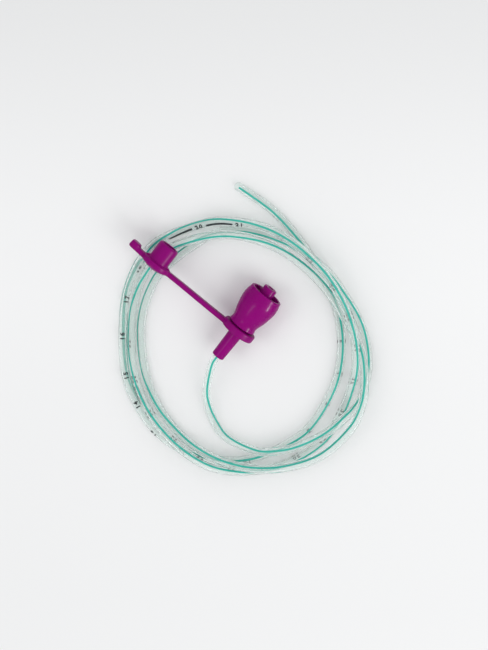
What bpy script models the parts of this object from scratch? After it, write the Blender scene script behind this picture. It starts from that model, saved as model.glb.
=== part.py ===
"""An infant feeding tube, lying loosely coiled: a moulded connector hub, its tethered cap and the tube.

Metres, +Z up, with the floor at z = 0. The hub lies on its side. Its axis runs along +Y towards the
open mouth, and the cap's strap runs towards -X. The origin is on the floor, at the centre of the box
round the hub and the cap.
"""
import math

import bmesh
import bpy
from mathutils import Matrix, Vector

# Fits between pieces
PIECE_GAP = 0.0003
SOCKET_CLEARANCE = 0.00005

# Tube
TUBE_DIAMETER = 0.0027
TUBE_POINTS = 86

# Hub, from the barrel's end to the tip of the post
LUMEN_RADIUS = 0.0009
SOCKET_DEPTH = 0.0080
BARREL_WALL = 0.00058
BARREL_TAPER = 0.00022
BARREL_LENGTH = 0.00885
BEAD_LENGTH = 0.0005
BEAD_HEIGHT = 0.0004
NECK_STEP = 0.0007
BASE_STEP = 0.0015
WAIST_DIP = 0.0002
WAIST_AT = 0.0017
SHOULDER_RADIUS = 0.0051
SHOULDER_AT = 0.0048
BELLY_RADIUS = 0.0058
BELLY_AT = 0.0092
MOUTH_RADIUS = 0.0053
COLLAR_LENGTH = 0.01255
COLLAR_WALL = 0.0009
COLLAR_DRAFT = 0.0003
CAVITY_DEPTH = 0.0080
POST_WALL = 0.00125
POST_PROUD = 0.0021

# Cap: ring, strap, flange, cup and pull tab, moulded in one piece
RING_WALL = 0.00225
RING_THICKNESS = 0.0023
RING_CHAMFER = 0.0006
STRAP_THICKNESS = 0.0015
STRAP_WIDTH = 0.0030
STRAP_INSET = 0.00005
STRAP_SWING = 0.0009
FLANGE_REACH = 0.0316
FLANGE_RADIUS = 0.00505
FLANGE_THICKNESS = 0.0017
FLANGE_DOME = 0.0005
CUP_LENGTH = 0.0061
CUP_WALL = 0.00098
CUP_FLOOR = 0.0008
CAP_PITCH = math.radians(-4.0)
TAB_REACH = 0.0106
TAB_LEAN = math.radians(8.0)
TAB_NECK_THICKNESS = 0.0015
TAB_NECK_WIDTH = 0.0034
PADDLE_LENGTH = 0.0034
PADDLE_THICKNESS = 0.0023
PADDLE_WIDTH = 0.0044
WEB_HEIGHT = 0.0012
WEB_LENGTH = 0.0015
WEB_THICKNESS = 0.0010

# Edge rounding
EDGE = 0.0003

# Faces round each turned piece
HUB_FACETS = 48
CAP_FACETS = 40

# Sizes that follow from the ones above
TUBE_RADIUS = TUBE_DIAMETER / 2
SOCKET_RADIUS = TUBE_RADIUS + SOCKET_CLEARANCE
BARREL_RADIUS = SOCKET_RADIUS + BARREL_WALL
BARREL_ROOT_RADIUS = BARREL_RADIUS + BARREL_TAPER
NECK_RADIUS = BARREL_ROOT_RADIUS + NECK_STEP
RING_BORE = NECK_RADIUS + PIECE_GAP
RING_RADIUS = RING_BORE + RING_WALL
RING_START = BARREL_LENGTH + BEAD_LENGTH
COLLAR_START = RING_START + RING_THICKNESS + PIECE_GAP
COLLAR_END = COLLAR_START + COLLAR_LENGTH
BASE_RADIUS = NECK_RADIUS + BASE_STEP
POST_RADIUS = LUMEN_RADIUS + POST_WALL
HUB_LENGTH = COLLAR_END + POST_PROUD
CUP_BORE = POST_RADIUS + PIECE_GAP / 2
CUP_RADIUS = CUP_BORE + CUP_WALL
CAP_PLANE = RING_START + STRAP_THICKNESS / 2 + STRAP_INSET
AXIS_HEIGHT = max(BELLY_RADIUS, RING_RADIUS)
HEAD_HEIGHT = TUBE_DIAMETER + 2 * PIECE_GAP + FLANGE_RADIUS
CAP_REACH = FLANGE_REACH + TAB_REACH
HUB_X = (CAP_REACH - BELLY_RADIUS) / 2
HUB_Y = -HUB_LENGTH / 2

# The tube's route from the hub to its tip, as it lies: x, y and the height of its centre line.
# Where it passes over itself, it rises in a long low hump.
FIRST_TURN = [
    (0.0190, -0.0179, 0.00540), (0.0231, -0.0259, 0.00300), (0.0308, -0.0315, 0.00155),
    (0.0359, -0.0325, 0.00190), (0.0458, -0.0292, 0.00400), (0.0496, -0.0260, 0.00445),
    (0.0533, -0.0218, 0.00410), (0.0584, -0.0115, 0.00440), (0.0600, -0.0038, 0.00390),
    (0.0604, -0.0003, 0.00240), (0.0599, 0.0036, 0.00140), (0.0556, 0.0123, 0.00135),
    (0.0473, 0.0200, 0.00135), (0.0344, 0.0257, 0.00230), (0.0274, 0.0276, 0.00410),
    (0.0161, 0.0275, 0.00425), (0.0105, 0.0259, 0.00250), (0.0051, 0.0237, 0.00135),
    (0.0000, 0.0208, 0.00135), (-0.0042, 0.0168, 0.00135),
]
SECOND_TURN = [
    (-0.0072, 0.0111, 0.00135), (-0.0108, -0.0017, 0.00135), (-0.0110, -0.0081, 0.00135),
    (-0.0062, -0.0210, 0.00135), (0.0086, -0.0357, 0.00135), (0.0228, -0.0407, 0.00170),
    (0.0351, -0.0397, 0.00425), (0.0458, -0.0356, 0.00450), (0.0548, -0.0284, 0.00430),
    (0.0615, -0.0185, 0.00380), (0.0634, -0.0056, 0.00480), (0.0622, 0.0003, 0.00520),
    (0.0597, 0.0056, 0.00480), (0.0524, 0.0138, 0.00370), (0.0475, 0.0167, 0.00350),
    (0.0359, 0.0219, 0.00440), (0.0239, 0.0243, 0.00445), (0.0109, 0.0234, 0.00400),
    (-0.0011, 0.0183, 0.00410), (-0.0092, 0.0101, 0.00435),
]
THIRD_TURN = [
    (-0.0146, -0.0009, 0.00150), (-0.0132, -0.0137, 0.00135), (-0.0017, -0.0312, 0.00180),
    (0.0106, -0.0399, 0.00380), (0.0245, -0.0435, 0.00435), (0.0374, -0.0423, 0.00410),
    (0.0478, -0.0363, 0.00135), (0.0556, -0.0259, 0.00135), (0.0593, -0.0136, 0.00135),
    (0.0572, -0.0004, 0.00165), (0.0517, 0.0120, 0.00645), (0.0409, 0.0219, 0.00710),
    (0.0266, 0.0275, 0.00750), (0.0148, 0.0285, 0.00705), (0.0040, 0.0258, 0.00410),
    (-0.0065, 0.0190, 0.00270), (-0.0112, 0.0134, 0.00150),
]
LAST_TURN = [
    (-0.0176, 0.0021, 0.00135), (-0.0183, -0.0046, 0.00135), (-0.0168, -0.0125, 0.00135),
    (-0.0134, -0.0202, 0.00135), (-0.0025, -0.0347, 0.00135), (0.0040, -0.0398, 0.00135),
    (0.0186, -0.0449, 0.00135), (0.0327, -0.0428, 0.00135), (0.0449, -0.0340, 0.00135),
    (0.0521, -0.0204, 0.00135), (0.0535, -0.0120, 0.00135), (0.0499, 0.0051, 0.00135),
    (0.0396, 0.0183, 0.00135), (0.0239, 0.0267, 0.00135), (0.0058, 0.0313, 0.00135),
    (-0.0097, 0.0306, 0.00135),
]

# The tube's straight run where it leaves the barrel
EXIT_RUN = 0.0015


def clear_scene():
    for item in list(bpy.data.objects):
        bpy.data.objects.remove(item, do_unlink=True)


def plastic(name, colour, roughness, transmission=0.0):
    """A plain moulded plastic with a linear base colour."""
    material = bpy.data.materials.new(name)
    material.use_nodes = True
    shader = material.node_tree.nodes["Principled BSDF"]
    shader.inputs["Base Color"].default_value = (*colour, 1.0)
    shader.inputs["Roughness"].default_value = roughness
    shader.inputs["Metallic"].default_value = 0.0
    shader.inputs["Transmission Weight"].default_value = transmission
    return material


def smooth_curve(points, steps):
    """Points on a centripetal Catmull-Rom curve through the given ones, a few for each span."""
    knots = [Vector(p) for p in points]
    knots = [2 * knots[0] - knots[1], *knots, 2 * knots[-1] - knots[-2]]
    path = []
    for before, start, end, after in zip(knots, knots[1:], knots[2:], knots[3:]):
        t1 = math.sqrt((start - before).length)
        t2 = t1 + math.sqrt((end - start).length)
        t3 = t2 + math.sqrt((after - end).length)
        for step in range(steps):
            t = t1 + (t2 - t1) * step / steps
            a1 = before.lerp(start, t / t1)
            a2 = start.lerp(end, (t - t1) / (t2 - t1))
            a3 = end.lerp(after, (t - t2) / (t3 - t2))
            b1 = a1.lerp(a2, t / t2)
            b2 = a2.lerp(a3, (t - t1) / (t3 - t1))
            path.append(b1.lerp(b2, (t - t1) / (t2 - t1)))
    path.append(knots[-2])
    return path


def evenly_spaced(path, count):
    """The given number of points, at equal distances along a path."""
    lengths = [0.0]
    for start, end in zip(path, path[1:]):
        lengths.append(lengths[-1] + (end - start).length)
    points = []
    index = 0
    for step in range(count):
        wanted = lengths[-1] * step / (count - 1)
        while index < len(path) - 2 and lengths[index + 1] < wanted:
            index += 1
        share = (wanted - lengths[index]) / (lengths[index + 1] - lengths[index])
        points.append(path[index].lerp(path[index + 1], min(share, 1.0)))
    return points


def arc(along, radius, size, start, end, steps=4):
    """Points of a rounded edge in a turned profile. Its angle is 0 towards +Y and 90 outwards."""
    angles = [math.radians(start + (end - start) * k / steps) for k in range(steps + 1)]
    return [(along + size * math.cos(a), radius + size * math.sin(a)) for a in angles]


def turned(profile, facets, closed):
    """A mesh turned about Y from (along, radius) points. An open profile begins and ends on the axis."""
    mesh = bmesh.new()
    rings = []
    for along, radius in profile:
        if radius == 0.0:
            rings.append([mesh.verts.new((0.0, along, 0.0))] * facets)
            continue
        ring = []
        for k in range(facets):
            angle = 2 * math.pi * k / facets
            ring.append(mesh.verts.new((radius * math.sin(angle), along, radius * math.cos(angle))))
        rings.append(ring)
    pairs = list(zip(rings, rings[1:]))
    if closed:
        pairs.append((rings[-1], rings[0]))
    for first, second in pairs:
        for k in range(facets):
            corners = [first[k], first[k - 1], second[k - 1], second[k]]
            mesh.faces.new(list(dict.fromkeys(corners)))
    bmesh.ops.recalc_face_normals(mesh, faces=mesh.faces)
    return mesh


def plate(outline, thickness, edge):
    """A flat plate from an outline of (x, z) points, with its thickness along Y and rounded edges."""
    mesh = bmesh.new()
    corners = [mesh.verts.new((x, -thickness / 2, z)) for x, z in outline]
    face = mesh.faces.new(corners)
    grown = bmesh.ops.extrude_face_region(mesh, geom=[face])
    moved = [item for item in grown["geom"] if isinstance(item, bmesh.types.BMVert)]
    bmesh.ops.translate(mesh, verts=moved, vec=(0.0, thickness, 0.0))
    bmesh.ops.recalc_face_normals(mesh, faces=mesh.faces)
    if edge > 0:
        rims = [e for e in mesh.edges if abs(e.verts[0].co.y - e.verts[1].co.y) < thickness / 2]
        bmesh.ops.bevel(mesh, geom=rims, offset=edge, segments=2, profile=0.5, affect="EDGES")
    return mesh


def mesh_object(name, mesh, material=None):
    data = bpy.data.meshes.new(name)
    mesh.to_mesh(data)
    mesh.free()
    data.shade_smooth()
    data.set_sharp_from_angle(angle=math.radians(35))
    if material:
        data.materials.append(material)
    item = bpy.data.objects.new(name, data)
    bpy.context.scene.collection.objects.link(item)
    return item


def guide(name, mesh, place):
    """A shape that a Boolean reads, and that is no piece of its own."""
    item = mesh_object(name, mesh)
    item.matrix_world = place
    item.hide_render = True
    item.display_type = "WIRE"
    return item


def barrel_and_neck():
    """The hub's outside from the barrel's end, over the snap bead, to the seat of the cap's ring."""
    bead = NECK_RADIUS + BEAD_HEIGHT
    return [
        *arc(EDGE, BARREL_RADIUS - EDGE, EDGE, 180, 90),
        (BARREL_LENGTH, BARREL_ROOT_RADIUS),
        (BARREL_LENGTH + BEAD_LENGTH * 0.6, bead),
        (BARREL_LENGTH + BEAD_LENGTH * 0.9, bead),
        (RING_START + BEAD_LENGTH / 2, NECK_RADIUS),
        (COLLAR_START, NECK_RADIUS),
    ]


def collar_outside():
    """The tulip outline: a base, a slight waist, a shoulder, a belly, and in again to the mouth."""
    stations = [
        (EDGE, BASE_RADIUS, 0),
        (WAIST_AT, BASE_RADIUS - WAIST_DIP, 0),
        (SHOULDER_AT, SHOULDER_RADIUS, 0),
        (BELLY_AT, BELLY_RADIUS, 0),
        (COLLAR_LENGTH - EDGE, MOUTH_RADIUS, 0),
    ]
    outline = [(COLLAR_START + p.x, min(p.y, BELLY_RADIUS)) for p in smooth_curve(stations, 5)]
    return arc(COLLAR_START + EDGE, BASE_RADIUS - EDGE, EDGE, 180, 90)[:-1] + outline


def collar_inside():
    """Over the rim, down the drafted wall and across the floor to the foot of the post."""
    wall = MOUTH_RADIUS - COLLAR_WALL
    deep_wall = wall - COLLAR_DRAFT
    floor = COLLAR_END - CAVITY_DEPTH
    return [
        *arc(COLLAR_END - EDGE, MOUTH_RADIUS - EDGE, EDGE, 90, 0)[1:],
        *arc(COLLAR_END - EDGE, wall + EDGE, EDGE, 0, -90),
        *arc(floor + EDGE, deep_wall - EDGE, EDGE, 90, 180),
        *arc(floor + EDGE, POST_RADIUS + EDGE, EDGE, 180, 270),
    ]


def post_and_lumen():
    """The post's rounded tip, the lumen through the hub and the socket that takes the tube."""
    lead = EDGE / 2
    return [
        *arc(HUB_LENGTH - EDGE, POST_RADIUS - EDGE, EDGE, 90, 0),
        (HUB_LENGTH, LUMEN_RADIUS + lead),
        (HUB_LENGTH - lead, LUMEN_RADIUS),
        (SOCKET_DEPTH, LUMEN_RADIUS),
        (SOCKET_DEPTH, SOCKET_RADIUS),
        (lead, SOCKET_RADIUS),
        (0.0, SOCKET_RADIUS + lead),
    ]


def make_hub(material):
    """The moulded hub, turned as one piece and bored right through."""
    profile = barrel_and_neck() + collar_outside() + collar_inside() + post_and_lumen()
    hub = mesh_object("connector_hub", turned(profile, HUB_FACETS, closed=True), material)
    hub.location = (HUB_X, HUB_Y, AXIS_HEIGHT)


def ring_shape():
    """The ring round the hub's neck, with rounded rims and a bore chamfered to pass the bead."""
    back = -RING_THICKNESS / 2
    front = RING_THICKNESS / 2
    profile = [
        (back, RING_BORE + RING_CHAMFER * 1.15),
        *arc(back + EDGE, RING_RADIUS - EDGE, EDGE, 180, 90),
        *arc(front - EDGE, RING_RADIUS - EDGE, EDGE, 90, 0),
        (front, RING_BORE + EDGE / 2),
        (front - EDGE / 2, RING_BORE),
        (back + RING_CHAMFER, RING_BORE),
    ]
    return turned(profile, CAP_FACETS, closed=True)


def strap_section(width, thickness):
    """Corners of the strap's rounded section, as (y, z) pairs round its middle."""
    corner = thickness / 4
    section = []
    for side_y, side_z, turn in ((1, 1, 0), (-1, 1, 90), (-1, -1, 180), (1, -1, 270)):
        for along, out in arc(0, 0, corner, turn, turn + 90, 2):
            y = side_y * (thickness / 2 - corner) + along
            z = side_z * (width / 2 - corner) + out
            section.append(Vector((0.0, y, z)))
    return section


def strap_shape(plane, rise):
    """The strap from the ring to the flange, rising, swinging and twisting a little on its way."""
    start = (RING_BORE + RING_RADIUS) / 2
    end = FLANGE_REACH - FLANGE_RADIUS * 0.8
    section = strap_section(STRAP_WIDTH, STRAP_THICKNESS)
    stations = 14
    mesh = bmesh.new()
    loops = []
    for k in range(stations + 1):
        share = k / stations
        eased = share * share * (3 - 2 * share)
        across = plane + STRAP_SWING * eased
        centre = Vector((-start - (end - start) * share, across, rise * eased))
        turn = Matrix.Rotation(CAP_PITCH * eased, 3, "X")
        loops.append([mesh.verts.new(centre + turn @ p) for p in section])
    for first, second in zip(loops, loops[1:]):
        for k in range(len(section)):
            mesh.faces.new([first[k - 1], first[k], second[k], second[k - 1]])
    mesh.faces.new(loops[0])
    mesh.faces.new(list(reversed(loops[-1])))
    bmesh.ops.recalc_face_normals(mesh, faces=mesh.faces)
    return mesh


def flange_and_cup_shape():
    """The flange with its domed back and hollow cup, which takes the hub's post when closed."""
    back = -FLANGE_THICKNESS / 2
    front = FLANGE_THICKNESS / 2
    lip = front + CUP_LENGTH
    round_lip = CUP_WALL * 0.7
    rim = CUP_WALL * 0.15
    flat = FLANGE_RADIUS - EDGE
    dome = [(back - FLANGE_DOME * (1 - k * k / 16), flat * k / 4) for k in range(4)]
    profile = [
        *dome,
        *arc(back + EDGE, FLANGE_RADIUS - EDGE, EDGE, 180, 90),
        *arc(front - EDGE, FLANGE_RADIUS - EDGE, EDGE, 90, 0),
        *arc(front + EDGE, CUP_RADIUS + EDGE, EDGE, 180, 270, 3),
        *arc(lip - round_lip, CUP_RADIUS - round_lip, round_lip, 90, 0),
        (lip, CUP_BORE + rim),
        (lip - rim, CUP_BORE),
        (back + CUP_FLOOR, CUP_BORE),
        (back + CUP_FLOOR, 0.0),
    ]
    return turned(profile, CAP_FACETS, closed=False)


def paddle_outline():
    """The pull tab's outer end seen along Y: a short plate with a round end."""
    inner = -TAB_REACH + PADDLE_LENGTH
    corner = PADDLE_WIDTH * 0.32
    outline = []
    for x, z, turn in (
        (inner - EDGE * 2, PADDLE_WIDTH / 2 - EDGE * 2, 0),
        (-TAB_REACH + corner, PADDLE_WIDTH / 2 - corner, 90),
        (-TAB_REACH + corner, corner - PADDLE_WIDTH / 2, 180),
        (inner - EDGE * 2, EDGE * 2 - PADDLE_WIDTH / 2, 270),
    ):
        size = corner if turn in (90, 180) else EDGE * 2
        outline += [(x + a, z + b) for a, b in arc(0, 0, size, turn, turn + 90)]
    return outline


def tab_neck_outline():
    """The pull tab's thinner root, from inside the flange to inside the paddle."""
    outer = -TAB_REACH + PADDLE_LENGTH / 2
    inner = -FLANGE_RADIUS * 0.8
    half = TAB_NECK_WIDTH / 2
    return [(inner, half), (outer, half), (outer, -half), (inner, -half)]


def web_shape(side):
    """A small web on the flange beside the cup, towards the strap or the tab."""
    foot = FLANGE_THICKNESS / 2 - EDGE
    near = CUP_RADIUS - EDGE
    far = CUP_RADIUS + WEB_LENGTH
    corners = ((near, foot), (far, foot), (near, foot + EDGE + WEB_HEIGHT))
    mesh = bmesh.new()
    loops = []
    for z in (-WEB_THICKNESS / 2, WEB_THICKNESS / 2):
        loops.append([mesh.verts.new((side * x, y, z)) for x, y in corners])
    mesh.faces.new(loops[0])
    mesh.faces.new(list(reversed(loops[1])))
    for k in range(len(corners)):
        mesh.faces.new([loops[0][k - 1], loops[0][k], loops[1][k], loops[1][k - 1]])
    bmesh.ops.recalc_face_normals(mesh, faces=mesh.faces)
    return mesh


def make_cap(material):
    """The cap, with its origin at the centre of its ring, on the hub's axis that it turns about."""
    ring_middle = RING_START + RING_THICKNESS / 2
    plane = CAP_PLANE - ring_middle
    rise = HEAD_HEIGHT - AXIS_HEIGHT
    place = Matrix.Translation((HUB_X, HUB_Y + ring_middle, AXIS_HEIGHT))
    pitch = Matrix.Rotation(CAP_PITCH, 4, "X")
    head = place @ Matrix.Translation((-FLANGE_REACH, plane + STRAP_SWING, rise)) @ pitch
    hinge = Matrix.Translation((-FLANGE_RADIUS, 0.0, 0.0))
    lean = head @ hinge @ Matrix.Rotation(-TAB_LEAN, 4, "Z") @ hinge.inverted()
    step = Matrix.Translation((0.0, (PADDLE_THICKNESS - TAB_NECK_THICKNESS) / 2, 0.0))
    forms = [
        guide("strap_form", strap_shape(plane, rise), place),
        guide("flange_form", flange_and_cup_shape(), head),
        guide("web_form_outer", web_shape(-1), head),
        guide("web_form_inner", web_shape(1), head),
        guide("tab_neck_form", plate(tab_neck_outline(), TAB_NECK_THICKNESS, 0.0), lean),
        guide("paddle_form", plate(paddle_outline(), PADDLE_THICKNESS, EDGE), lean @ step),
    ]
    cap = mesh_object("tethered_cap", ring_shape(), material)
    cap.matrix_world = place
    for form in forms:
        union = cap.modifiers.new(form.name, "BOOLEAN")
        union.operation = "UNION"
        union.solver = "EXACT"
        union.object = form


def make_tube(material):
    """The free tube, from the barrel's end round its coil to the tip."""
    start = (HUB_X, HUB_Y - PIECE_GAP, AXIS_HEIGHT)
    straight = (HUB_X, HUB_Y - PIECE_GAP - EXIT_RUN, AXIS_HEIGHT)
    route = [start, straight] + FIRST_TURN + SECOND_TURN + THIRD_TURN + LAST_TURN
    points = evenly_spaced(smooth_curve(route, 16), TUBE_POINTS)
    curve = bpy.data.curves.new("feeding_tube", "CURVE")
    curve.dimensions = "3D"
    curve.bevel_depth = TUBE_RADIUS
    curve.bevel_resolution = 2
    curve.use_fill_caps = True
    curve.materials.append(material)
    spline = curve.splines.new("POLY")
    spline.points.add(len(points) - 1)
    for knot, point in zip(spline.points, points):
        knot.co = (point.x, point.y, max(point.z, TUBE_RADIUS), 1.0)
    tube = bpy.data.objects.new("feeding_tube", curve)
    bpy.context.scene.collection.objects.link(tube)


def main():
    clear_scene()
    make_hub(plastic("hub_plastic", (0.254, 0.002, 0.165), 0.28))
    make_cap(plastic("cap_plastic", (0.240, 0.002, 0.155), 0.33))
    make_tube(plastic("clear_tube", (0.72, 0.84, 0.79), 0.15, 0.6))


main()
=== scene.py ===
"""Looks for the infant feeding tube: a clear coiled tube with a teal line and printed marks, a moulded
hub and its tethered cap, on a plain pale surface under soft studio light.

Metres, in the CAD's frame: the hub's axis runs along +Y to its open mouth, the strap along -X.
"""
import math

import bmesh
import bpy
from mathutils import Matrix, Vector


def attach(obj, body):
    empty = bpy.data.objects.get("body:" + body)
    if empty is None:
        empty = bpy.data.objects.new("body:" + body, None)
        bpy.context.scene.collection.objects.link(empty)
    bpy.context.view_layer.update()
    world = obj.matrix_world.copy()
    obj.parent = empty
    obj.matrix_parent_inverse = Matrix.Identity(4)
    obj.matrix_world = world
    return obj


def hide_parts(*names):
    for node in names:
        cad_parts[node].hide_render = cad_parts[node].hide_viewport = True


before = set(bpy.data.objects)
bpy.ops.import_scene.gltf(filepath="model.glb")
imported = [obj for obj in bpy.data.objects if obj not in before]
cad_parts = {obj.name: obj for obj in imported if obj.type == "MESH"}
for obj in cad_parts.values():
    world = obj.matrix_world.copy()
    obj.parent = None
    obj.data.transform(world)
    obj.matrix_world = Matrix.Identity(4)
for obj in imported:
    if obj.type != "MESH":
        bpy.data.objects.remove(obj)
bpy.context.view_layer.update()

MM = 0.001

# Where the hub, ring and cap lie, in metres, as in the CAD
HUB_X = 0.0182
HUB_Y = -0.0133
AXIS_HEIGHT = 0.0058
RING_MIDDLE = 0.0105
CAP_LINE = 0.01015
HEAD_HEIGHT = 0.00835
STRAP_SWING = 0.0009
FLANGE_REACH = 0.0316
CAP_PITCH = math.radians(-4.0)

# Camera: the aim in mm, the height of its view in degrees, and the picture's upward direction
CAMERA_AIM = (18.635, -0.67, 5.8)
CAMERA_LIFT = 78.0
CAMERA_UP = (-0.61, 0.79, 0.0)
CAMERA_DISTANCE = 0.700
CAMERA_LENS = 128.8

# Tube and its teal line, in metres
TUBE_RADIUS = 0.00135
BORE_RADIUS = 0.00088
TUBE_SIDES = 28
TUBE_STEP = 0.0008
SOCKET_REACH = 0.0065
TUBE_START = 0.0003
TUBE_STRAIGHT = 0.0018
TIP_SOLID = 0.0016
STRIPE_WIDTH = 0.0006
STRIPE_OUTER = 0.001358
STRIPE_INNER = 0.00128
STRIPE_END = 0.0010

# How much wider the line is on the underside, where the real tube magnifies it
STRIPE_SPREAD = 0.8

# Eyes in the side of the tip: how far from its end, and to which side
EYES = [(0.0085, 1), (0.0165, -1)]
EYE_OUTWARDS = 0.64
EYE_DOWNWARDS = 0.77
EYE_RADIUS = 0.00045
EYE_STRAIGHT = 0.0006
EYE_DEPTHS = (-0.0006, 0.0008)

# Printed marks: letter size in mm, how bold and how far apart, and the print's height in metres
NUMBER_SIZE = 1.95
NUMBER_BOLDNESS = 0.085
NUMBER_SPACING = 1.42
NUMBER_SLICE = 0.16
PRINT_RISE = 0.00002
PRINT_SINK = 0.00001
BAR_HALF_ANGLE = 15.0

# Hub, in mm along its axis from the barrel's end, and in radii
BARREL_LENGTH = 8.5
NECK_END = 11.6
COLLAR_START = 11.95
COLLAR_END = 24.5
COLLAR_RADIUS = 5.8
COLLAR_FLOOR = 16.9
POST_END = 26.6
POST_RADIUS = 2.15
LUMEN_RADIUS = 0.9
LUMEN_MOUTH = 1.05
SOCKET_DEPTH = 8.0
SOCKET_RADIUS = 1.4
HUB_FACETS = 120

# Thread inside the collar, in mm
THREAD_START = 18.4
THREAD_RUN = 4.3
THREAD_TURNS = 0.85
THREAD_DEPTH = 0.38
THREAD_ROOT = 0.25
THREAD_HALF_FOOT = 0.55
THREAD_HALF_CREST = 0.22

# Cap, in mm
STRAP_THICKNESS = 1.5
STRAP_WIDTH = 3.0
STRAP_CORNER = 0.42
STRAP_START = 4.3
FLANGE_RADIUS = 4.8
STRAP_END = FLANGE_REACH / MM - FLANGE_RADIUS * 0.8
DOME_HEIGHT = 1.0
WEB_CORNERS = [(2.95, 0.5), (4.78, 0.55), (4.78, 0.85), (3.5, 1.5), (2.95, 1.55)]
WEB_HALF_WIDTH = 0.5
TAB_HINGE = -4.8
TAB_LEAN = -5.0
TAB_STEP = 0.4
CAP_FACETS = 96
CAP_GRAIN = 0.155

# Colours
HUB_PURPLE = (0.255, 0.0016, 0.165)
CAP_PURPLE = (0.245, 0.0018, 0.158)
TUBE_TINT = (0.945, 0.996, 0.978)
TUBE_SHADOW = (0.984, 0.993, 0.990)
LINE_TEAL = (0.02, 0.43, 0.34)
LINE_LIGHT_TEAL = (0.035, 0.48, 0.385)
INK_DARK = (0.012, 0.016, 0.02)
INK_LIGHT = (0.03, 0.035, 0.04)

# Lamps shine at this point, in metres
LAMP_AIM = (0.0187, -0.001, 0.0)

# Lamps: name, direction from the object, distance, size, power, and whether only the hub and cap
# show it, as a glint
LAMPS = [
    ("key_lamp", (0.97, 0.0, 0.85), 0.9, (0.6, 0.6), 3.4, False),
    ("fill_lamp", (-0.79, -0.50, 1.1), 1.0, (0.5, 0.5), 1.3, False),
    ("glint_lamp", (0.905, 0.03, 0.42), 0.9, (0.32, 0.05), 9.0, True),
    ("ceiling_lamp", (-0.25, -0.45, 0.85), 1.0, (0.14, 0.32), 1.6, True),
]

# The room's strength as light, as it is seen, and how much brighter it is in reflections
ROOM_COLOUR = (0.98, 0.99, 1.0)
ROOM_AS_LIGHT = 0.68
ROOM_SEEN = 0.90
ROOM_REFLECTED = 1.3

# The floor's half width in metres, and its painted light falloff: pale shades from the picture's top to
# its bottom, darkest at the top
FLOOR_REACH = 1.6
FLOOR_FALLOFF_SPAN = 0.10
FLOOR_PAINTED_FALLOFF = [
    (0.0, (0.815, 0.815, 0.815)), (0.1, (0.83, 0.83, 0.83)), (0.295, (0.885, 0.885, 0.885)),
    (0.4, (0.905, 0.905, 0.905)), (0.52, (0.91, 0.91, 0.91)), (0.675, (0.89, 0.89, 0.89)),
    (1.0, (0.865, 0.865, 0.865)),
]

# The tube's route from the hub to its tip, as in the CAD
FIRST_TURN = [
    (0.0190, -0.0179, 0.00540), (0.0231, -0.0259, 0.00300), (0.0308, -0.0315, 0.00155),
    (0.0359, -0.0325, 0.00190), (0.0458, -0.0292, 0.00400), (0.0496, -0.0260, 0.00445),
    (0.0533, -0.0218, 0.00410), (0.0584, -0.0115, 0.00440), (0.0600, -0.0038, 0.00390),
    (0.0604, -0.0003, 0.00240), (0.0599, 0.0036, 0.00140), (0.0556, 0.0123, 0.00135),
    (0.0473, 0.0200, 0.00135), (0.0344, 0.0257, 0.00230), (0.0274, 0.0276, 0.00410),
    (0.0161, 0.0275, 0.00425), (0.0105, 0.0259, 0.00250), (0.0051, 0.0237, 0.00135),
    (0.0000, 0.0208, 0.00135), (-0.0042, 0.0168, 0.00135),
]
SECOND_TURN = [
    (-0.0072, 0.0111, 0.00135), (-0.0108, -0.0017, 0.00135), (-0.0110, -0.0081, 0.00135),
    (-0.0062, -0.0210, 0.00135), (0.0086, -0.0357, 0.00135), (0.0228, -0.0407, 0.00170),
    (0.0351, -0.0397, 0.00425), (0.0458, -0.0356, 0.00450), (0.0548, -0.0284, 0.00430),
    (0.0615, -0.0185, 0.00380), (0.0634, -0.0056, 0.00480), (0.0622, 0.0003, 0.00520),
    (0.0597, 0.0056, 0.00480), (0.0524, 0.0138, 0.00370), (0.0475, 0.0167, 0.00350),
    (0.0359, 0.0219, 0.00440), (0.0239, 0.0243, 0.00445), (0.0109, 0.0234, 0.00400),
    (-0.0011, 0.0183, 0.00410), (-0.0092, 0.0101, 0.00435),
]
THIRD_TURN = [
    (-0.0146, -0.0009, 0.00150), (-0.0132, -0.0137, 0.00135), (-0.0017, -0.0312, 0.00180),
    (0.0106, -0.0399, 0.00380), (0.0245, -0.0435, 0.00435), (0.0374, -0.0423, 0.00410),
    (0.0478, -0.0363, 0.00135), (0.0556, -0.0259, 0.00135), (0.0593, -0.0136, 0.00135),
    (0.0572, -0.0004, 0.00165), (0.0517, 0.0120, 0.00645), (0.0409, 0.0219, 0.00710),
    (0.0266, 0.0275, 0.00750), (0.0148, 0.0285, 0.00705), (0.0040, 0.0258, 0.00410),
    (-0.0065, 0.0190, 0.00270), (-0.0112, 0.0134, 0.00150),
]
LAST_TURN = [
    (-0.0176, 0.0021, 0.00135), (-0.0183, -0.0046, 0.00135), (-0.0168, -0.0125, 0.00135),
    (-0.0134, -0.0202, 0.00135), (-0.0025, -0.0347, 0.00135), (0.0040, -0.0398, 0.00135),
    (0.0186, -0.0449, 0.00135), (0.0327, -0.0428, 0.00135), (0.0449, -0.0340, 0.00135),
    (0.0521, -0.0204, 0.00135), (0.0535, -0.0120, 0.00135), (0.0499, 0.0051, 0.00135),
    (0.0396, 0.0183, 0.00135), (0.0239, 0.0267, 0.00135), (0.0058, 0.0313, 0.00135),
    (-0.0097, 0.0306, 0.00135),
]

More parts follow.
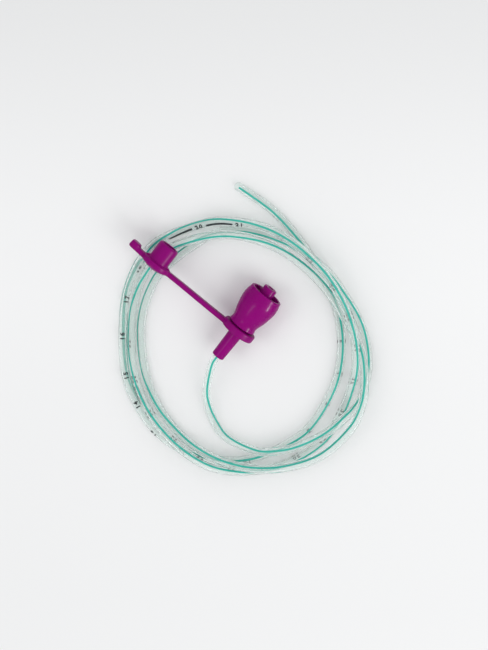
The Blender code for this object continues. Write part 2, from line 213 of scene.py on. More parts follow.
# Where the teal line lies round the tube: mm along the route, and degrees from the top outwards.
# It rolls to the underside below the cap, and back to the top on the tube's last turn.
STRIPE_TURN = [
    (0, 0), (7, -10), (14, -21), (19, -34), (24, -50), (29, -40), (34, -29), (44, -15), (56, -5),
    (64, -14), (74, -19), (84, 8), (93, 18), (103, 31), (112, 20), (119, 14), (131, -22), (150, -22),
    (157, 10), (165, 50), (182, 44), (190, 52), (203, 54), (210, 48), (217, 10), (224, -4), (233, -26),
    (250, -22), (263, -26), (276, -34), (289, -34), (300, -13), (310, 6), (317, 14), (323, 36),
    (330, 46), (342, 46), (351, 38), (362, 14), (372, -16), (385, -18), (397, -20), (404, -14),
    (408, 4), (412, 20), (417, 46), (426, 52), (435, 28), (444, 0), (459, -24), (470, -28), (479, -18),
    (486, 6), (495, 20), (507, 31), (521, 41), (532, 32), (545, 24), (555, 16), (567, 22),
    (578, 8), (592, 4), (600, 20), (606, 36), (614, 48), (619, 38), (623, 14), (626, 2), (629, -8),
    (631.5, -16), (635.5, -186), (640, -195), (645, -208), (652, -192), (670, -165), (690, -95),
    (705, -34), (713, -8), (722, -6), (733, 8), (744, 27), (754, 30), (766, 21), (780, 22), (792, 30),
    (803, 13), (812, -4), (822, -6), (832, 2),
]

# Where the printed marks lie round the tube, in the same way
PRINT_TURN = [
    (415, -246), (427, -246), (440, -212), (449, -196), (460, -176), (470, -144), (481, -182),
    (491, -178), (502, -168), (522, -190), (533, -176), (545, -194), (554, -174), (564, -142),
    (575, -132), (587, -148), (598, -48), (602, -38), (606, -28), (611, -33), (615, -25),
    (623, -52), (631, -72), (638, -76), (648, -29), (660, -5), (672, -19), (682, -3), (692, 55),
    (702, 144), (712, 150), (722, 148), (733, 156), (743, 142), (753, 148), (763, 166), (773, 180),
    (832, 184),
]

# Centimetre numbers, and how far each lies from the tube's tip in mm
MARKS = [
    (5, 59.7), (6, 69.7), (7, 79.7), (8, 89.7), (9, 99.9), (10, 110.9), (11, 121.2), (12, 131.2),
    (13, 141.2), (14, 151.2), (15, 160.9), (16, 173.2), (17, 184.7), (18, 194.9), (19, 206.0),
    (20, 219.4), (21, 232.4), (22, 245.7), (23, 257.4), (24, 268.4), (25, 278.7), (26, 288.4),
    (27, 300.0), (28, 311.2), (29, 321.5), (30, 331.2), (31, 342.0), (32, 351.9), (33, 362.7),
    (34, 372.9), (35, 383.7), (36, 395.0), (37, 405.7),
]

# Printed bars between some of the numbers: from and to, in mm from the tip
BARS = [(209.4, 217.2), (221.9, 230.2), (387, 393)]


def clamp(value, low, high):
    return max(low, min(high, value))


def slope_at(table, k):
    """The slope at a table's entry: level at its ends, peaks and dips."""
    if k in (0, len(table) - 1):
        return 0.0
    (x0, y0), (x1, y1), (x2, y2) = table[k - 1:k + 2]
    before = (y1 - y0) / (x1 - x0)
    after = (y2 - y1) / (x2 - x1)
    if before * after <= 0:
        return 0.0
    return 2 * before * after / (before + after)


def table_value(table, place):
    """A value on a smooth curve through a table of (place, value) pairs, without overshoot."""
    for k, ((x0, y0), (x1, y1)) in enumerate(zip(table, table[1:])):
        if place <= x1:
            t = clamp((place - x0) / (x1 - x0), 0.0, 1.0)
            eased = y0 + (y1 - y0) * t * t * (3 - 2 * t)
            bend = slope_at(table, k) * (1 - t) - slope_at(table, k + 1) * t
            return eased + bend * t * (1 - t) * (x1 - x0)
    return table[-1][1]


def smooth_curve(points, steps):
    """Points on a centripetal Catmull-Rom curve through the given ones."""
    knots = [Vector(p) for p in points]
    knots = [2 * knots[0] - knots[1], *knots, 2 * knots[-1] - knots[-2]]
    path = []
    for before, start, end, after in zip(knots, knots[1:], knots[2:], knots[3:]):
        t1 = math.sqrt((start - before).length)
        t2 = t1 + math.sqrt((end - start).length)
        t3 = t2 + math.sqrt((after - end).length)
        for step in range(steps):
            t = t1 + (t2 - t1) * step / steps
            a1 = before.lerp(start, t / t1)
            a2 = start.lerp(end, (t - t1) / (t2 - t1))
            a3 = end.lerp(after, (t - t2) / (t3 - t2))
            b1 = a1.lerp(a2, t / t2)
            b2 = a2.lerp(a3, (t - t1) / (t3 - t1))
            path.append(b1.lerp(b2, (t - t1) / (t2 - t1)))
    path.append(knots[-2])
    return path


def evenly_spaced(path, step):
    """Points at equal distances along a path, close to the given step."""
    lengths = [0.0]
    for start, end in zip(path, path[1:]):
        lengths.append(lengths[-1] + (end - start).length)
    count = round(lengths[-1] / step) + 1
    points = []
    index = 0
    for k in range(count):
        wanted = lengths[-1] * k / (count - 1)
        while index < len(path) - 2 and lengths[index + 1] < wanted:
            index += 1
        share = (wanted - lengths[index]) / (lengths[index + 1] - lengths[index])
        points.append(path[index].lerp(path[index + 1], clamp(share, 0.0, 1.0)))
    return points


class Line:
    """The tube's centre line, with directions outwards and upwards at each point."""

    def __init__(self, points):
        self.points = [Vector((p.x, p.y, max(p.z, TUBE_RADIUS))) for p in points]
        self.places = [0.0]
        for start, end in zip(self.points, self.points[1:]):
            self.places.append(self.places[-1] + (end - start).length)
        self.length = self.places[-1]
        self.ways = []
        last = len(self.points) - 1
        for k in range(last + 1):
            way = self.points[min(k + 1, last)] - self.points[max(k - 1, 0)]
            way.normalize()
            out = way.cross(Vector((0, 0, 1))).normalized()
            self.ways.append((way, out, out.cross(way)))

    def at(self, place):
        """Centre and directions at a distance along the line."""
        share = clamp(place / self.length, 0.0, 1.0) * (len(self.points) - 1)
        k = min(int(share), len(self.points) - 2)
        share -= k
        centre = self.points[k].lerp(self.points[k + 1], share)
        ways = [a.lerp(b, share).normalized() for a, b in zip(self.ways[k], self.ways[k + 1])]
        return centre, ways

    def surface(self, place, degrees, radius):
        """A point round the line, with degrees from the top outwards."""
        centre, (_, out, up) = self.at(place)
        angle = math.radians(degrees)
        return centre + (up * math.cos(angle) + out * math.sin(angle)) * radius


def link(name, mesh, smooth_angle=None):
    """A new object from a bmesh, linked to the scene."""
    data = bpy.data.meshes.new(name)
    mesh.to_mesh(data)
    mesh.free()
    data.shade_smooth()
    if smooth_angle:
        data.set_sharp_from_angle(angle=math.radians(smooth_angle))
    item = bpy.data.objects.new(name, data)
    bpy.context.scene.collection.objects.link(item)
    return item


def apply_modifiers(item):
    """Bakes an object's modifiers into its mesh."""
    graph = bpy.context.evaluated_depsgraph_get()
    made = bpy.data.meshes.new_from_object(item.evaluated_get(graph))
    item.modifiers.clear()
    item.data = made


def combine(item, other, operation):
    """Joins another object to an object, or cuts it out, and removes the other."""
    change = item.modifiers.new("combine", "BOOLEAN")
    change.operation = operation
    change.solver = "EXACT"
    change.object = other
    apply_modifiers(item)
    bpy.data.objects.remove(other, do_unlink=True)


def loft(mesh, loops, closed_ends=True):
    """Joins closed loops of points into a skin. A loop of one point is a pole."""
    made = []
    for loop in loops:
        made.append([mesh.verts.new(p) for p in loop])
    for first, second in zip(made, made[1:]):
        count = max(len(first), len(second))
        for k in range(count):
            corners = [
                first[k % len(first)], first[(k + 1) % len(first)],
                second[(k + 1) % len(second)], second[k % len(second)],
            ]
            mesh.faces.new(list(dict.fromkeys(corners)))
    if closed_ends:
        for loop in (made[0], made[-1]):
            if len(loop) > 2:
                mesh.faces.new(loop)
    return made


def circle(line, place, radius, sides):
    """A circle of points round the tube's centre line, or one point where the radius is 0."""
    if radius <= 0:
        return [line.at(place)[0]]
    return [line.surface(place, 360 * k / sides, radius) for k in range(sides)]


# Materials


def shader(name, colour, roughness, **sockets):
    """A material, its node tree and its Principled shader."""
    material = bpy.data.materials.new(name)
    material.use_nodes = True
    tree = material.node_tree
    main = tree.nodes["Principled BSDF"]
    main.inputs["Base Color"].default_value = (*colour, 1.0)
    main.inputs["Roughness"].default_value = roughness
    for socket, value in sockets.items():
        main.inputs[socket.replace("_", " ")].default_value = value
    return material, tree, main


def noise(tree, scale, detail=2.0):
    """A noise that is fixed to the object."""
    node = tree.nodes.new("ShaderNodeTexNoise")
    node.inputs["Scale"].default_value = scale
    node.inputs["Detail"].default_value = detail
    place = tree.nodes.new("ShaderNodeTexCoord").outputs["Object"]
    tree.links.new(place, node.inputs["Vector"])
    return node.outputs["Fac"]


def ramp(tree, fac, stops):
    """A colour ramp with the given (place, colour) stops."""
    node = tree.nodes.new("ShaderNodeValToRGB")
    while len(node.color_ramp.elements) < len(stops):
        node.color_ramp.elements.new(0.5)
    for element, (place, colour) in zip(node.color_ramp.elements, stops):
        element.position = place
        element.color = (*colour, 1.0)
    tree.links.new(fac, node.inputs["Fac"])
    return node.outputs["Color"]


def map_range(tree, value, low, high, start=0.0, end=1.0):
    """Maps a value that runs from start to end on to low to high."""
    node = tree.nodes.new("ShaderNodeMapRange")
    node.inputs["From Min"].default_value = start
    node.inputs["From Max"].default_value = end
    node.inputs["To Min"].default_value = low
    node.inputs["To Max"].default_value = high
    tree.links.new(value, node.inputs["Value"])
    return node.outputs["Result"]


def spread(tree, fac, low, high):
    """Spreads the middle of a noise over low to high."""
    return map_range(tree, fac, low, high, 0.3, 0.7)


def calculate(tree, operation, first, second):
    """A Math node of two values. The second may be a plain number."""
    node = tree.nodes.new("ShaderNodeMath")
    node.operation = operation
    tree.links.new(first, node.inputs[0])
    if isinstance(second, float):
        node.inputs[1].default_value = second
    else:
        tree.links.new(second, node.inputs[1])
    return node.outputs["Value"]


def bump(tree, main, height, strength):
    """A very low bump on the main shader, 0.01 mm high at full strength."""
    node = tree.nodes.new("ShaderNodeBump")
    node.inputs["Strength"].default_value = strength
    node.inputs["Distance"].default_value = 0.00001
    tree.links.new(height, node.inputs["Height"])
    tree.links.new(node.outputs["Normal"], main.inputs["Normal"])


def moulded(name, colour, roughness):
    """Coloured moulded plastic: faint flow clouds, uneven gloss and a very fine skin texture."""
    material, tree, main = shader(name, colour, roughness, Specular_IOR_Level=0.06)
    dark = tuple(c * 0.96 for c in colour)
    light = tuple(c * 1.04 for c in colour)
    clouds = noise(tree, 260.0, 3.0)
    tree.links.new(ramp(tree, clouds, [(0.3, dark), (0.7, light)]), main.inputs["Base Color"])
    gloss = noise(tree, 900.0)
    tree.links.new(spread(tree, gloss, roughness - 0.03, roughness + 0.05), main.inputs["Roughness"])
    bump(tree, main, noise(tree, 2600.0, 3.0), 0.10)
    return material


def clear_plastic(name):
    """Clear soft tube, a little milky, and nearly open to the lamps."""
    material, tree, main = shader(name, TUBE_TINT, 0.05, IOR=1.27, Transmission_Weight=0.9)
    haze = noise(tree, 700.0)
    tree.links.new(spread(tree, haze, 0.03, 0.06), main.inputs["Roughness"])
    open_to_lamps = tree.nodes.new("ShaderNodeBsdfTransparent")
    open_to_lamps.inputs["Color"].default_value = (*TUBE_SHADOW, 1.0)
    path = tree.nodes.new("ShaderNodeLightPath")
    mix = tree.nodes.new("ShaderNodeMixShader")
    tree.links.new(path.outputs["Is Shadow Ray"], mix.inputs["Fac"])
    tree.links.new(main.outputs["BSDF"], mix.inputs[1])
    tree.links.new(open_to_lamps.outputs["BSDF"], mix.inputs[2])
    output = tree.nodes["Material Output"]
    tree.links.new(mix.outputs["Shader"], output.inputs["Surface"])
    return material


def ink(name, colour, light, scale, roughness):
    """A printed or co-extruded line, a little uneven in its colour along the tube."""
    material, tree, main = shader(name, colour, roughness)
    uneven = noise(tree, scale, 3.0)
    tree.links.new(ramp(tree, uneven, [(0.3, colour), (0.75, light)]), main.inputs["Base Color"])
    bump(tree, main, noise(tree, scale * 4), 0.2)
    return material


# Camera and tube


def make_camera():
    """The camera, which looks down from near the hub's mouth."""
    aim = Vector(CAMERA_AIM) * MM
    lift = math.radians(CAMERA_LIFT)
    back = Vector((0.0, math.cos(lift), math.sin(lift)))
    up = Vector(CAMERA_UP)
    up = (up - back * up.dot(back)).normalized()
    right = up.cross(back)
    turn = Matrix((right, up, back)).transposed()
    data = bpy.data.cameras.new("camera")
    data.sensor_width = 36.0
    data.lens = CAMERA_LENS
    data.clip_start = 0.05
    data.clip_end = 10.0
    camera = bpy.data.objects.new("camera", data)
    camera.matrix_world = Matrix.Translation(aim + back * CAMERA_DISTANCE) @ turn.to_4x4()
    bpy.context.scene.collection.objects.link(camera)
    bpy.context.scene.camera = camera


def tube_line():
    """The centre line from inside the hub's socket to the tip."""
    start = (HUB_X, HUB_Y - TUBE_START, AXIS_HEIGHT)
    straight = (HUB_X, HUB_Y - TUBE_STRAIGHT, AXIS_HEIGHT)
    route = [start, straight] + FIRST_TURN + SECOND_TURN + THIRD_TURN + LAST_TURN
    inside = Vector((HUB_X, HUB_Y + SOCKET_REACH, AXIS_HEIGHT))
    return Line(evenly_spaced([inside] + smooth_curve(route, 16), TUBE_STEP))


def make_tube(line, material):
    """The hollow tube, with a rounded closed tip and two eyes in its side."""
    end = line.length
    loops = []
    steps = 5
    for k in range(steps + 1):
        angle = math.pi / 2 * k / steps
        place = end - TIP_SOLID - BORE_RADIUS * (1 - math.sin(math.pi / 2 - angle))
        loops.append(circle(line, place, BORE_RADIUS * math.sin(angle), TUBE_SIDES))
    places = [p for p in line.places if p < end - TIP_SOLID - BORE_RADIUS * 1.5]
    loops += [circle(line, p, BORE_RADIUS, TUBE_SIDES) for p in reversed(places)]
    places = [p for p in line.places if p < end - TUBE_RADIUS * 1.3]
    loops += [circle(line, p, TUBE_RADIUS, TUBE_SIDES) for p in places]
    for k in range(1, steps + 1):
        angle = math.pi / 2 * k / steps
        place = end - TUBE_RADIUS * (1 - math.sin(angle))
        loops.append(circle(line, place, TUBE_RADIUS * math.cos(angle) if k < steps else 0, TUBE_SIDES))
    mesh = bmesh.new()
    loft(mesh, loops, closed_ends=False)
    bmesh.ops.recalc_face_normals(mesh, faces=mesh.faces)
    tube = link("tube_clear", mesh)
    tube.data.materials.append(material)
    for number, (back, side) in enumerate(EYES):
        cut_eye(tube, line, end - back, side, number)
    return tube


def cut_eye(tube, line, place, side, number):
    """Cuts one rounded eye through the side of the tube's wall."""
    centre, (way, out, up) = line.at(place)
    out = (out * side * EYE_OUTWARDS - up * EYE_DOWNWARDS).normalized()
    up = out.cross(way)
    middle = centre + out * TUBE_RADIUS
    mesh = bmesh.new()
    loops = []
    sides = 24
    for depth in EYE_DEPTHS:
        loop = []
        for k in range(sides):
            angle = 2 * math.pi * k / sides
            along = EYE_RADIUS * math.cos(angle) + math.copysign(EYE_STRAIGHT, math.cos(angle))
            loop.append(middle + way * along + up * EYE_RADIUS * math.sin(angle) + out * depth)
        loops.append(loop)
    loft(mesh, loops)
    bmesh.ops.recalc_face_normals(mesh, faces=mesh.faces)
    combine(tube, link(f"eye_cutter_{number}", mesh), "DIFFERENCE")


def make_stripe(line, material):
    """The teal line, set in the tube's wall."""
    half = math.degrees(STRIPE_WIDTH / 2 / STRIPE_OUTER)
    loops = []
    for place in line.places:
        if place > line.length - STRIPE_END:
            break
        middle = table_value(STRIPE_TURN, (place - SOCKET_REACH) / MM)
        below = max(0.0, -math.cos(math.radians(middle)))
        wide = half * (1 + STRIPE_SPREAD * below)
        outer = [(middle - wide + wide * k / 3, STRIPE_OUTER) for k in range(7)]
        inner = [(middle + wide - wide * k / 3, STRIPE_INNER) for k in range(7)]
        loops.append([line.surface(place, a, r) for a, r in outer + inner])
    mesh = bmesh.new()
    loft(mesh, loops)
    bmesh.ops.recalc_face_normals(mesh, faces=mesh.faces)
    stripe = link("tube_stripe", mesh, 40)
    stripe.data.materials.append(material)
    return stripe


def add_number(mesh, line, text, place, middle):
    """Adds a number's closed letter forms to a mesh, wrapped on the tube."""
    font = bpy.data.curves.new("number", "FONT")
    font.body = text
    font.size = NUMBER_SIZE
    font.extrude = 0.5
    font.offset = NUMBER_BOLDNESS
    font.align_x = "CENTER"
    font.align_y = "CENTER"
    font.space_character = NUMBER_SPACING
    item = bpy.data.objects.new("number", font)
    bpy.context.scene.collection.objects.link(item)
    bpy.context.view_layer.update()
    flat = bmesh.new()
    flat.from_mesh(item.to_mesh())
    item.to_mesh_clear()
    bpy.data.objects.remove(item, do_unlink=True)
    bmesh.ops.remove_doubles(flat, verts=flat.verts, dist=0.0005)
    for k in range(-5, 6):
        cells = flat.verts[:] + flat.edges[:] + flat.faces[:]
        cut = (0, k * NUMBER_SLICE, 0)
        bmesh.ops.bisect_plane(flat, geom=cells, plane_co=cut, plane_no=(0, 1, 0))
    made = {}
    for v in flat.verts:
        angle = middle + math.degrees(v.co.y * MM / TUBE_RADIUS)
        radius = TUBE_RADIUS + (PRINT_RISE if v.co.z > 0 else -PRINT_SINK)
        made[v] = mesh.verts.new(line.surface(place - v.co.x * MM, angle, radius))
    for face in flat.faces:
        mesh.faces.new([made[v] for v in face.verts])
    flat.free()


def add_bar(mesh, line, start, end, middle_at):
    """Adds a printed bar along the tube to a mesh."""
    loops = []
    steps = max(4, round((end - start) / TUBE_STEP))
    half = BAR_HALF_ANGLE
    for k in range(steps + 1):
        place = start + (end - start) * k / steps
        middle = middle_at(place)
        outer = [(middle - half + half * j / 2, TUBE_RADIUS + PRINT_RISE) for j in range(5)]
        inner = [(middle + half - half * j / 2, TUBE_RADIUS - PRINT_SINK) for j in range(5)]
        loops.append([line.surface(place, a, r) for a, r in outer + inner])
    loft(mesh, loops)


def make_print(line, material):
    """All the printed numbers and bars, as one thin layer on the tube."""

    def middle_at(place):
        return table_value(PRINT_TURN, (place - SOCKET_REACH) / MM)

    mesh = bmesh.new()
    for number, back in MARKS:
        place = line.length - back * MM
        add_number(mesh, line, str(number), place, middle_at(place))
    for back, front in BARS:
        add_bar(mesh, line, line.length - front * MM, line.length - back * MM, middle_at)
    bmesh.ops.recalc_face_normals(mesh, faces=mesh.faces)
    marks = link("tube_print", mesh, 30)
    marks.data.materials.append(material)
    return marks


# Hub


def arc(along, radius, size, start, end, steps=6):
    """Points on an arc of the given size about (along, radius), from start to end in degrees."""
    angles = [math.radians(start + (end - start) * k / steps) for k in range(steps + 1)]
    return [(along + size * math.cos(a), radius + size * math.sin(a)) for a in angles]


def turned(profile, facets, closed):
    """A mesh turned about Y from (along, radius) points. An open profile ends on the axis."""
    mesh = bmesh.new()
    loops = []
    for along, radius in profile:
        if radius == 0.0:
            loops.append([Vector((0.0, along, 0.0))])
            continue
        angles = [2 * math.pi * k / facets for k in range(facets)]
        loops.append([Vector((radius * math.sin(a), along, radius * math.cos(a))) for a in angles])
    made = loft(mesh, loops, closed_ends=False)
    if closed:
        first, second = made[-1], made[0]
        for k in range(facets):
            mesh.faces.new([first[k - 1], first[k], second[k], second[k - 1]])
    bmesh.ops.recalc_face_normals(mesh, faces=mesh.faces)
    return mesh


def hub_profile():
    """The hub's section as (along, radius) in mm, from the barrel's end, round and back."""
    waist = [(0.35, 4.4, 0), (1.7, 4.2, 0), (4.8, 5.1, 0), (9.2, COLLAR_RADIUS, 0), (12.2, 5.3, 0)]
    tulip = [(COLLAR_START + p.x, min(p.y, COLLAR_RADIUS)) for p in smooth_curve(waist, 9)]
    barrel = [
        *arc(0.3, 1.68, 0.3, 180, 90),
        (BARREL_LENGTH, 2.19),
        *arc(BARREL_LENGTH, 2.49, 0.3, -90, -35, 3)[1:],
    ]
    snap_bead = [
        *arc(9.15, 3.02, 0.28, 150, 30, 5),
        *arc(9.75, 3.1, 0.2, 220, 270, 3),
    ]
    neck = [
        (NECK_END, 2.9),
        *arc(NECK_END + 0.15, 3.1, 0.2, -90, 0, 3),
    ]
    collar = [
        *arc(COLLAR_START + 0.3, 4.1, 0.3, 180, 90)[:-1],
        *tulip,
        *arc(COLLAR_END - 0.3, 5.0, 0.3, 85, 0)[1:],
        *arc(COLLAR_END - 0.25, 4.65, 0.25, 0, -90),
        (20.5, 4.25),
        *arc(COLLAR_FLOOR, 3.7, 0.4, 90, 180),
    ]
    post = [
        *arc(COLLAR_FLOOR, 2.55, 0.4, 180, 270),
        (22.0, POST_RADIUS),
        *arc(POST_END - 0.35, POST_RADIUS - 0.35, 0.35, 88, 0),
    ]
    lumen = [
        (POST_END, LUMEN_MOUTH),
        *arc(POST_END - 0.15, LUMEN_MOUTH, 0.15, 0, -90, 3)[1:],
        (SOCKET_DEPTH, LUMEN_RADIUS),
    ]
    socket = [
        (SOCKET_DEPTH, SOCKET_RADIUS),
        (0.15, SOCKET_RADIUS),
        (0.0, SOCKET_RADIUS + 0.15),
    ]
    return barrel + snap_bead + neck + collar + post + lumen + socket


def make_hub(material):
    """The moulded hub, with the collar's inner thread of two starts."""
    profile = [(a * MM, r * MM) for a, r in hub_profile()]
    hub = link("hub_moulding", turned(profile, HUB_FACETS, closed=True))
    hub.data.materials.append(material)
    for number in range(2):
        combine(hub, make_thread(number * math.pi, number), "UNION")
    hub.data.shade_smooth()
    hub.data.set_sharp_from_angle(angle=math.radians(38))
    hub.location = (HUB_X, HUB_Y, AXIS_HEIGHT)
    return hub


def collar_bore(along):
    """The radius of the collar's slightly tapered bore, in mm."""
    return 4.27 + 0.055 * (along - 20.0) / 2


def make_thread(phase, number):
    """One start of the collar's inner thread: a low helical ridge that fades in and out."""
    mesh = bmesh.new()
    loops = []
    steps = 60
    for k in range(steps + 1):
        share = k / steps
        angle = phase + share * 2 * math.pi * THREAD_TURNS
        along = (THREAD_START + THREAD_RUN * share) * MM
        wall = collar_bore(along / MM) * MM
        fade = clamp(min(share, 1 - share) * 12, 0.04, 1.0)
        top = wall - THREAD_DEPTH * MM * fade
        foot = wall + THREAD_ROOT * MM
        section = [
            (-THREAD_HALF_FOOT, foot), (-THREAD_HALF_CREST, top),
            (THREAD_HALF_CREST, top), (THREAD_HALF_FOOT, foot),
        ]
        loop = []
        for shift, radius in section:
            y = along + shift * MM
            loop.append(Vector((radius * math.sin(angle), y, radius * math.cos(angle))))
        loops.append(loop)
    loft(mesh, loops)
    bmesh.ops.recalc_face_normals(mesh, faces=mesh.faces)
    return link(f"thread_form_{number}", mesh)


# Cap


def strap_mesh():
    """The strap, twisting to the flange's pitch, with soft corners."""
    mesh = bmesh.new()
    loops = []
    stations = 40
    start = STRAP_START * MM
    end = STRAP_END * MM
    half_y = STRAP_THICKNESS / 2 - STRAP_CORNER
    half_z = STRAP_WIDTH / 2 - STRAP_CORNER
    plane = CAP_LINE - RING_MIDDLE
    rise = HEAD_HEIGHT - AXIS_HEIGHT
    for k in range(stations + 1):
        share = k / stations
        eased = share * share * (3 - 2 * share)
        across = plane + STRAP_SWING * eased
        centre = Vector((-start - (end - start) * share, across, rise * eased))
        turn = Matrix.Rotation(CAP_PITCH * eased, 3, "X")
        loop = []
        for side_y, side_z, first in ((1, 1, 0), (-1, 1, 90), (-1, -1, 180), (1, -1, 270)):
            for a, b in arc(0, 0, STRAP_CORNER * MM, first, first + 90, 4):
                y = side_y * half_y * MM + a
                z = side_z * half_z * MM + b
                loop.append(centre + turn @ Vector((0.0, y, z)))
        loops.append(loop)
    loft(mesh, loops)
    bmesh.ops.recalc_face_normals(mesh, faces=mesh.faces)
    return mesh


def plate_mesh(outline, thickness, edge):
    """A flat plate along Y from (x, z) corners, with rounded rims."""
    mesh = bmesh.new()
    half = thickness / 2
    centre = Vector((sum(x for x, _ in outline), sum(z for _, z in outline))) / len(outline)
    loops = []
    for y, inset in ((-half, edge), (-half + edge * 0.3, edge * 0.3), (-half + edge, 0.0),
                     (half - edge, 0.0), (half - edge * 0.3, edge * 0.3), (half, edge)):
        loop = []
        for x, z in outline:
            away = Vector((x, z)) - centre
            away *= 1 - inset / max(away.length, 1e-6)
            loop.append(Vector((centre.x + away.x, y, centre.y + away.y)))
        loops.append(loop)
    loft(mesh, loops)
    bmesh.ops.recalc_face_normals(mesh, faces=mesh.faces)
    return mesh


def rounded_box(x0, x1, z0, z1, corner, steps=6):
    """The outline in metres of a rectangle with rounded corners, from sizes in mm."""
    outline = []
    for x, z, first in ((x1 - corner, z1 - corner, 0), (x0 + corner, z1 - corner, 90),
                        (x0 + corner, z0 + corner, 180), (x1 - corner, z0 + corner, 270)):
        outline += [((x + a) * MM, (z + b) * MM) for a, b in arc(0, 0, corner, first, first + 90, steps)]
    return outline


def web_mesh(side):
    """A small sloping web on the flange beside the cup."""
    mesh = bmesh.new()
    loops = []
    for z in (-WEB_HALF_WIDTH, WEB_HALF_WIDTH):
        loops.append([Vector((side * x, y, z)) * MM for x, y in WEB_CORNERS])
    loft(mesh, loops)
    bmesh.ops.recalc_face_normals(mesh, faces=mesh.faces)
    return mesh


def ring_profile():
    """The ring's section, in mm."""
    return [
        (-1.15, 3.85), *arc(-0.75, 5.05, 0.4, 180, 90), *arc(0.75, 5.05, 0.4, 90, 0), (1.15, 3.35),
        (1.0, 3.2), (-0.55, 3.2),
    ]


def head_profile():
    """The section of the domed flange and the hollow cup, in mm, from the dome's top round to the
    cup's floor."""
    rim = FLANGE_RADIUS - 0.4
    steps = 6
    dome = [(-0.85 - DOME_HEIGHT * (1 - (k / steps) ** 2), rim * k / steps) for k in range(steps)]
    flange = [*arc(-0.45, rim, 0.4, 180, 90), *arc(0.45, rim, 0.4, 90, 0)]
    cup = [
        *arc(1.20, 3.63, 0.35, 180, 270, 4), *arc(6.26, 2.59, 0.69, 90, 0), (6.95, 2.45),
        (6.8, 2.30), (-0.05, 2.30), (-0.05, 0.0),
    ]
    return dome + flange + cup


def make_cap(material):
    """The cap: its ring, strap, flange, cup, webs and tab, blended as one soft moulding."""
    shift = Vector((-FLANGE_REACH, CAP_LINE - RING_MIDDLE + STRAP_SWING, HEAD_HEIGHT - AXIS_HEIGHT))
    at_head = Matrix.Translation(shift) @ Matrix.Rotation(CAP_PITCH, 4, "X")
    hinge = Matrix.Translation((TAB_HINGE * MM, 0.0, 0.0))
    lean = at_head @ hinge @ Matrix.Rotation(math.radians(TAB_LEAN), 4, "Z") @ hinge.inverted()
    step = Matrix.Translation((0.0, TAB_STEP * MM, 0.0))
    ring = turned([(a * MM, r * MM) for a, r in ring_profile()], CAP_FACETS, closed=True)
    head = turned([(a * MM, r * MM) for a, r in head_profile()], CAP_FACETS, closed=False)
    paddle = rounded_box(-10.1, -6.8, -2.2, 2.2, 1.35)
    neck = rounded_box(-8.8, -3.8, -1.7, 1.7, 0.3, 3)
    forms = [
        (strap_mesh(), Matrix()),
        (head, at_head),
        (web_mesh(-1), at_head),
        (web_mesh(1), at_head),
        (plate_mesh(neck, 1.5 * MM, 0.25 * MM), lean),
        (plate_mesh(paddle, 2.3 * MM, 0.45 * MM), lean @ step),
    ]
    cap = link("cap_moulding", ring)
    for number, (mesh, where) in enumerate(forms):
        form = link(f"cap_form_{number}", mesh)
        form.data.transform(where)
        combine(cap, form, "UNION")
    soften = cap.modifiers.new("soften", "REMESH")
    soften.mode = "VOXEL"
    soften.voxel_size = CAP_GRAIN * MM
    soften.use_smooth_shade = True
    relax = cap.modifiers.new("relax", "SMOOTH")
    relax.factor = 0.5
    relax.iterations = 8
    apply_modifiers(cap)
    cap.data.shade_smooth()
    cap.data.materials.clear()
    cap.data.materials.append(material)
    cap.matrix_world = Matrix.Translation((HUB_X, HUB_Y + RING_MIDDLE, AXIS_HEIGHT))
    return cap


# Stage and light


def make_floor():
    """A pale sheet with painted light falloff: a little darker towards the picture's top."""
    mesh = bmesh.new()
    corners = [(-1, -1), (1, -1), (1, 1), (-1, 1)]
    mesh.faces.new([mesh.verts.new((x * FLOOR_REACH, y * FLOOR_REACH, 0.0)) for x, y in corners])
    floor = link("floor", mesh)
    material, tree, main = shader("floor_paper_painted_falloff", (0.86, 0.86, 0.87), 0.7, Specular_IOR_Level=0.1)
    place = tree.nodes.new("ShaderNodeTexCoord").outputs["Object"]
    down = tree.nodes.new("ShaderNodeVectorMath")
    down.operation = "DOT_PRODUCT"
    down.inputs[1].default_value = -Vector(CAMERA_UP)
    tree.links.new(place, down.inputs[0])
    # Painted light falloff: the floor's base colour runs from darker at the picture's top to lighter
    # below
    along = map_range(tree, down.outputs["Value"], 0.0, 1.0, -FLOOR_FALLOFF_SPAN, FLOOR_FALLOFF_SPAN)
    tree.links.new(ramp(tree, along, FLOOR_PAINTED_FALLOFF), main.inputs["Base Color"])
    floor.data.materials.append(material)


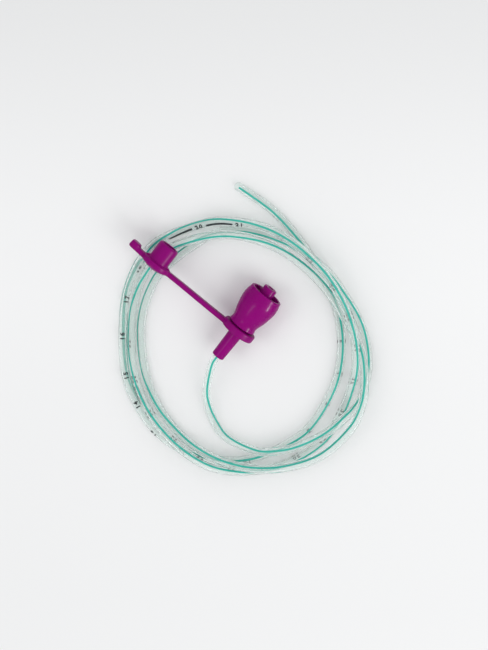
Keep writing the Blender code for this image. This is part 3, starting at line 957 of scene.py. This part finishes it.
def make_lamp(name, way, distance, size, power, shiny):
    """A soft lamp that shines at the object. Given shiny pieces, it is only their glint."""
    data = bpy.data.lights.new(name, "AREA")
    data.shape = "RECTANGLE"
    data.size, data.size_y = size
    data.energy = power
    lamp = bpy.data.objects.new(name, data)
    way = Vector(way).normalized()
    lamp.location = Vector(LAMP_AIM) + way * distance
    lamp.rotation_mode = "QUATERNION"
    lamp.rotation_quaternion = way.to_track_quat("Z", "Y")
    lamp.visible_glossy = shiny is not None
    lamp.visible_diffuse = shiny is None
    lamp.visible_transmission = False
    bpy.context.scene.collection.objects.link(lamp)
    if shiny:
        lamp.light_linking.receiver_collection = shiny


def make_light(moulded_pieces):
    """A soft key from the right, a weak fill from the left, two glints and a pale room."""
    shiny = bpy.data.collections.new("shiny")
    for piece in moulded_pieces:
        shiny.objects.link(piece)
    for *lamp, is_glint in LAMPS:
        make_lamp(*lamp, shiny if is_glint else None)
    world = bpy.data.worlds.new("studio")
    world.use_nodes = True
    tree = world.node_tree
    room = tree.nodes["Background"]
    room.inputs["Color"].default_value = (*ROOM_COLOUR, 1.0)
    path = tree.nodes.new("ShaderNodeLightPath")
    reflected = path.outputs["Is Glossy Ray"]
    unscattered = calculate(tree, "LESS_THAN", path.outputs["Diffuse Depth"], 0.5)
    seen = calculate(tree, "SUBTRACT", unscattered, reflected)
    lit = map_range(tree, seen, ROOM_AS_LIGHT, ROOM_SEEN)
    gain = map_range(tree, reflected, 1.0, ROOM_REFLECTED)
    tree.links.new(calculate(tree, "MULTIPLY", lit, gain), room.inputs["Strength"])
    bpy.context.scene.world = world


def main():
    bpy.context.scene.view_settings.view_transform = "Standard"
    make_camera()
    line = tube_line()
    tube = make_tube(line, clear_plastic("clear_tube_plastic"))
    teal = ink("teal_line", LINE_TEAL, LINE_LIGHT_TEAL, scale=500.0, roughness=0.4)
    stripe = make_stripe(line, teal)
    dark = ink("dark_print", INK_DARK, INK_LIGHT, scale=1500.0, roughness=0.5)
    marks = make_print(line, dark)
    for piece in (tube, stripe, marks):
        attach(piece, "root")
    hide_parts("feeding_tube")
    hub = make_hub(moulded("hub_purple", HUB_PURPLE, roughness=0.23))
    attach(hub, "root")
    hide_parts("connector_hub")
    cap = make_cap(moulded("cap_purple", CAP_PURPLE, roughness=0.33))
    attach(cap, "cap")
    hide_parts("tethered_cap")
    make_floor()
    make_light([hub, cap])
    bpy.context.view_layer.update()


main()
